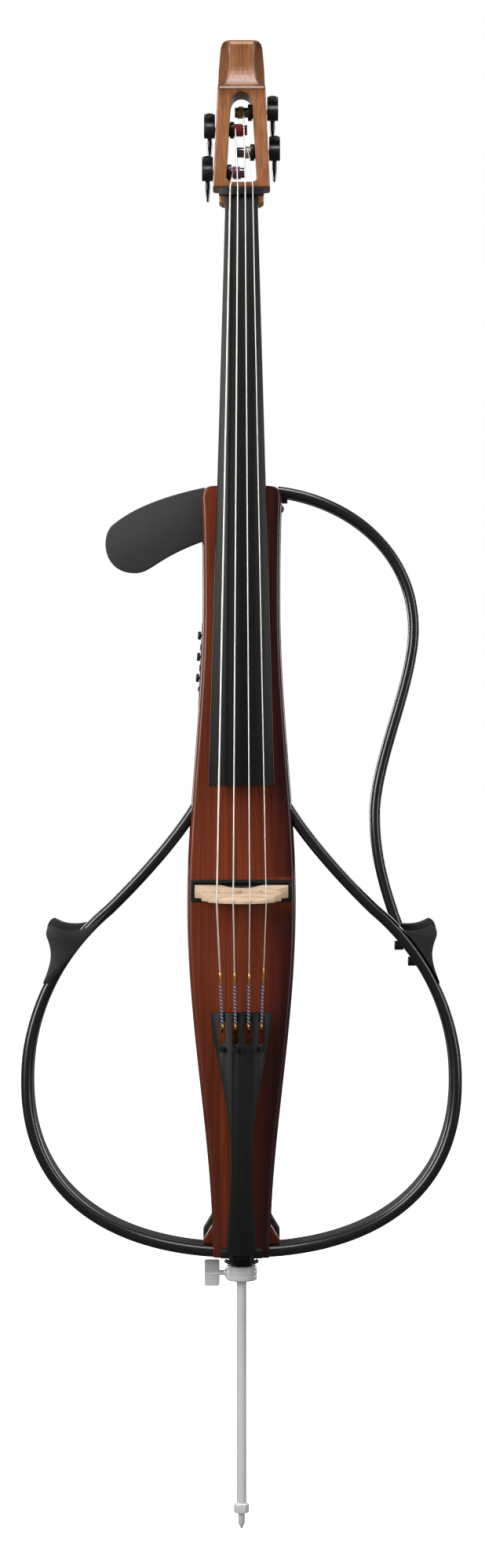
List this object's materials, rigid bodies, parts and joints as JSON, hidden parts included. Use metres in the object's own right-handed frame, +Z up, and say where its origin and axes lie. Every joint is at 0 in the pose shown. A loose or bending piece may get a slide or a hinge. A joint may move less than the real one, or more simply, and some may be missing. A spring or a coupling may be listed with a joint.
{
  "type": "electric frame cello",
  "caption": "Electric frame cello: slim wooden body, open side frames with a detachable upper bout, geared tuners, bridge pickup and sliding endpin.",
  "frame": {"origin": "tip of the endpin, on the floor, on the instrument's centre line", "axes": "+Z up along the endpin towards the head, -Y towards the strings (the audience side), +X towards the side of the detachable upper bout"},
  "size_m": [0.44, 0.1572, 1.497],
  "materials": {
    "front_wood": "satin lacquered sunburst wood",
    "back_wood": "satin lacquered dark wood",
    "neck_wood": "satin maple",
    "ebony": "matte black composite",
    "maple": "bare maple",
    "brass_parts": "turned brass",
    "black_plastic": "moulded black",
    "black_cord": "black cord",
    "string_steel": "wound steel",
    "black_hardware": "black plated",
    "black_chrome": "black chrome",
    "aluminium_tube": "drawn tube",
    "chrome_steel": "polished",
    "satin_black_frame": "satin black",
    "charcoal_plate": "matte charcoal",
    "black_metal": "satin black",
    "black_rubber": "soft matte",
    "dark_plastic": "moulded",
    "circuit_green": "circuit board",
    "battery_case": "wrapped cells"
  },
  "bodies": {
    "cello_body": {"body_front_plate": "front_wood", "body_back_shell": "back_wood", "neck_and_pegbox": "neck_wood", "fingerboard": "ebony", "nut": "ebony", "tail_saddle": "ebony", "bridge_tray": "black_plastic", "bridge_pickup": "brass_parts", "bridge": "maple", "tailpiece": "black_plastic", "tail_cord": "black_cord", "string_c": "string_steel", "string_g": "string_steel", "string_d": "string_steel", "string_a": "string_steel", "tuner_housing_1": "black_hardware", "tuner_housing_2": "black_hardware", "tuner_housing_3": "black_hardware", "tuner_housing_4": "black_hardware", "post_bushings": "black_hardware", "endpin_ferrule": "black_plastic", "endpin_guide_tube": "aluminium_tube", "endpin_collar": "chrome_steel", "left_lower_frame": "satin_black_frame", "right_lower_frame": "satin_black_frame", "frame_foot_blocks": "satin_black_frame", "bout_locating_pins": "satin_black_frame", "arm_plate": "charcoal_plate", "control_panel": "black_plastic", "jack_sockets": "dark_plastic", "circuit_board": "circuit_green", "battery_cells": "battery_case"},
    "endpin": {"endpin_rod": "chrome_steel", "spike_lock_nut": "chrome_steel", "endpin_spike": "chrome_steel"},
    "thumbscrew": {"endpin_thumbscrew": "chrome_steel"},
    "tuner_1_key": {"tuner_key_1": "black_hardware"},
    "tuner_1_post": {"tuner_post_1": "black_chrome", "tuner_gear_1": "brass_parts"},
    "tuner_2_key": {"tuner_key_2": "black_hardware"},
    "tuner_2_post": {"tuner_post_2": "black_chrome", "tuner_gear_2": "brass_parts"},
    "tuner_3_key": {"tuner_key_3": "black_hardware"},
    "tuner_3_post": {"tuner_post_3": "black_chrome", "tuner_gear_3": "brass_parts"},
    "tuner_4_key": {"tuner_key_4": "black_hardware"},
    "tuner_4_post": {"tuner_post_4": "black_chrome", "tuner_gear_4": "brass_parts"},
    "fine_tuner_1": {"fine_tuner_screw_1": "black_plastic"},
    "fine_tuner_2": {"fine_tuner_screw_2": "black_plastic"},
    "fine_tuner_3": {"fine_tuner_screw_3": "black_plastic"},
    "fine_tuner_4": {"fine_tuner_screw_4": "black_plastic"},
    "volume_control": {"volume_knob": "black_plastic"},
    "tone_control": {"tone_knob": "black_plastic"},
    "reverb_control": {"reverb_knob": "black_plastic"},
    "power_switch": {"power_button": "dark_plastic"},
    "bout": {"upper_bout": "satin_black_frame"},
    "chest_rest": {"chest_rest_arm": "black_metal", "chest_pad": "black_rubber"},
    "battery_cover": {"battery_door": "black_plastic"}
  },
  "joints": [
    {"name": "endpin_slide", "type": "slide", "parent": "cello_body", "child": "endpin", "axis": [0, 0, 1], "range_m": [-0.07, 0.225]},
    {"name": "thumbscrew_turn", "type": "hinge", "parent": "cello_body", "child": "thumbscrew", "pos_m": [-0.02, 0, 0.25795], "axis": [1, 0, 0], "range_deg": [0, 360]},
    {"name": "tuner_1_key_turn", "type": "hinge", "parent": "cello_body", "child": "tuner_1_key", "pos_m": [0.0313, 0.00175, 1.43008], "axis": [0, 0.5736, -0.8192], "continuous": true},
    {"name": "tuner_1_post_turn", "type": "hinge", "parent": "cello_body", "child": "tuner_1_post", "pos_m": [0.0249, -0.0055, 1.425], "axis": [1, 0, 0], "continuous": true},
    {"name": "tuner_2_key_turn", "type": "hinge", "parent": "cello_body", "child": "tuner_2_key", "pos_m": [-0.03211, 0.00025, 1.41208], "axis": [0, 0.5736, -0.8192], "continuous": true},
    {"name": "tuner_2_post_turn", "type": "hinge", "parent": "cello_body", "child": "tuner_2_post", "pos_m": [-0.02571, -0.007, 1.407], "axis": [-1, 0, 0], "continuous": true},
    {"name": "tuner_3_key_turn", "type": "hinge", "parent": "cello_body", "child": "tuner_3_key", "pos_m": [0.03315, -0.00275, 1.38908], "axis": [0, 0.5736, -0.8192], "continuous": true},
    {"name": "tuner_3_post_turn", "type": "hinge", "parent": "cello_body", "child": "tuner_3_post", "pos_m": [0.02675, -0.01, 1.384], "axis": [1, 0, 0], "continuous": true},
    {"name": "tuner_4_key_turn", "type": "hinge", "parent": "cello_body", "child": "tuner_4_key", "pos_m": [-0.0341, -0.00575, 1.36808], "axis": [0, 0.5736, -0.8192], "continuous": true},
    {"name": "tuner_4_post_turn", "type": "hinge", "parent": "cello_body", "child": "tuner_4_post", "pos_m": [-0.0277, -0.013, 1.363], "axis": [-1, 0, 0], "continuous": true},
    {"name": "fine_tuner_1_turn", "type": "hinge", "parent": "cello_body", "child": "fine_tuner_1", "pos_m": [-0.01976, -0.06, 0.488], "axis": [0, -1, 0], "range_deg": [-720, 720]},
    {"name": "fine_tuner_2_turn", "type": "hinge", "parent": "cello_body", "child": "fine_tuner_2", "pos_m": [-0.00624, -0.06, 0.488], "axis": [0, -1, 0], "range_deg": [-720, 720]},
    {"name": "fine_tuner_3_turn", "type": "hinge", "parent": "cello_body", "child": "fine_tuner_3", "pos_m": [0.00728, -0.06, 0.488], "axis": [0, -1, 0], "range_deg": [-720, 720]},
    {"name": "fine_tuner_4_turn", "type": "hinge", "parent": "cello_body", "child": "fine_tuner_4", "pos_m": [0.0208, -0.06, 0.488], "axis": [0, -1, 0], "range_deg": [-720, 720]},
    {"name": "volume_turn", "type": "hinge", "parent": "cello_body", "child": "volume_control", "pos_m": [-0.03999, -0.008, 0.89897], "axis": [-0.999, 0, 0.0454], "range_deg": [-135, 135]},
    {"name": "tone_turn", "type": "hinge", "parent": "cello_body", "child": "tone_control", "pos_m": [-0.04097, -0.008, 0.87759], "axis": [-0.999, 0, 0.0454], "range_deg": [-135, 135]},
    {"name": "reverb_turn", "type": "hinge", "parent": "cello_body", "child": "reverb_control", "pos_m": [-0.04193, -0.008, 0.85641], "axis": [-0.999, 0, 0.0454], "range_deg": [-135, 135]},
    {"name": "power_press", "type": "slide", "parent": "cello_body", "child": "power_switch", "axis": [0.999, 0, -0.0454], "range_m": [0, 0.0008], "stiffness_N_per_m": 1500},
    {"name": "bout_release", "type": "slide", "parent": "cello_body", "child": "bout", "axis": [1, 0, 0], "range_m": [0, 0.04]},
    {"name": "chest_rest_slide", "type": "slide", "parent": "cello_body", "child": "chest_rest", "axis": [0, 1, 0], "range_m": [-0.018, 0.012]},
    {"name": "battery_door_swing", "type": "hinge", "parent": "cello_body", "child": "battery_cover", "pos_m": [0, 0.0356, 0.6036], "axis": [-1, 0, 0], "range_deg": [0, 100]}
  ],
  "couplings": [
    {"joint": "tuner_1_key_turn", "follows": "tuner_1_post_turn", "ratio": 14},
    {"joint": "tuner_2_key_turn", "follows": "tuner_2_post_turn", "ratio": 14},
    {"joint": "tuner_3_key_turn", "follows": "tuner_3_post_turn", "ratio": 14},
    {"joint": "tuner_4_key_turn", "follows": "tuner_4_post_turn", "ratio": 14}
  ]
}
